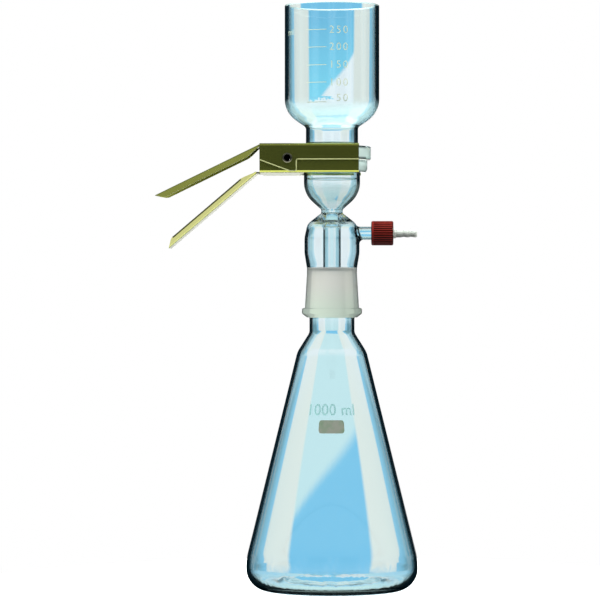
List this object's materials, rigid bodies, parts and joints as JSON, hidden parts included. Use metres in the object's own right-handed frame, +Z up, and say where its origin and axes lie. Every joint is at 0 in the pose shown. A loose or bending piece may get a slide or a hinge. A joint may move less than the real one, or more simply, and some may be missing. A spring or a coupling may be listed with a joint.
{
  "type": "vacuum filtration unit",
  "caption": "Laboratory vacuum filtration unit: graduated glass funnel clamped by a spring clamp to a fritted glass base with a side arm, standing in the ground neck of a conical flask.",
  "frame": {"origin": "centre of the flask's foot on the bench", "axes": "+Z up the vessels' common axis, +X along the side arm to the hose nozzle, the clamp's handles point to -X"},
  "size_m": [0.1992, 0.1304, 0.4444],
  "materials": {
    "flask_glass": "clear blown borosilicate glass, with a ground cone at the neck",
    "base_glass": "clear blown borosilicate glass, with a ground socket and a ground flange",
    "funnel_glass": "clear blown borosilicate glass, with white printed graduations and a ground flange",
    "sintered_glass": "white sintered glass, porous and matt",
    "membrane": "thin white membrane, matt",
    "clamp_metal": "folded sheet with an olive-gold anodised finish, satin",
    "pivot_steel": "plated steel tube with rolled ends",
    "spring_steel": "bright spring steel wire",
    "nozzle_plastic": "off-white moulded plastic",
    "seal_rubber": "pale silicone rubber",
    "cap_plastic": "brick-red moulded plastic, slightly glossy"
  },
  "bodies": {
    "vessels": {"flask": "flask_glass", "filter_base": "base_glass", "frit_disc": "sintered_glass", "membrane_filter": "membrane", "funnel": "funnel_glass", "clamp_lower_arm": "clamp_metal", "clamp_pivot_tube": "pivot_steel", "clamp_spring": "spring_steel"},
    "upper_arm": {"clamp_upper_arm": "clamp_metal"},
    "nozzle": {"hose_nozzle": "nozzle_plastic", "nozzle_seal": "seal_rubber"},
    "cap": {"screw_cap": "cap_plastic"}
  },
  "joints": [
    {"name": "clamp_squeeze", "type": "hinge", "parent": "vessels", "child": "upper_arm", "pos_m": [-0.0324, 0, 0.3271], "axis": [0, -1, 0], "range_deg": [0, 14], "stiffness_Nm_per_rad": 1.2, "springref_deg": -34.38, "deforming": ["clamp_spring"]},
    {"name": "nozzle_travel", "type": "slide", "parent": "vessels", "child": "nozzle", "axis": [1, 0, 0], "range_m": [0, 0.0125]},
    {"name": "cap_spin", "type": "hinge", "parent": "nozzle", "child": "cap", "pos_m": [0.0382, 0, 0.2711], "axis": [1, 0, 0], "range_deg": [0, 1801]}
  ],
  "couplings": [
    {"joint": "cap_spin", "follows": "nozzle_travel", "rad_per_m": 2513.3}
  ]
}
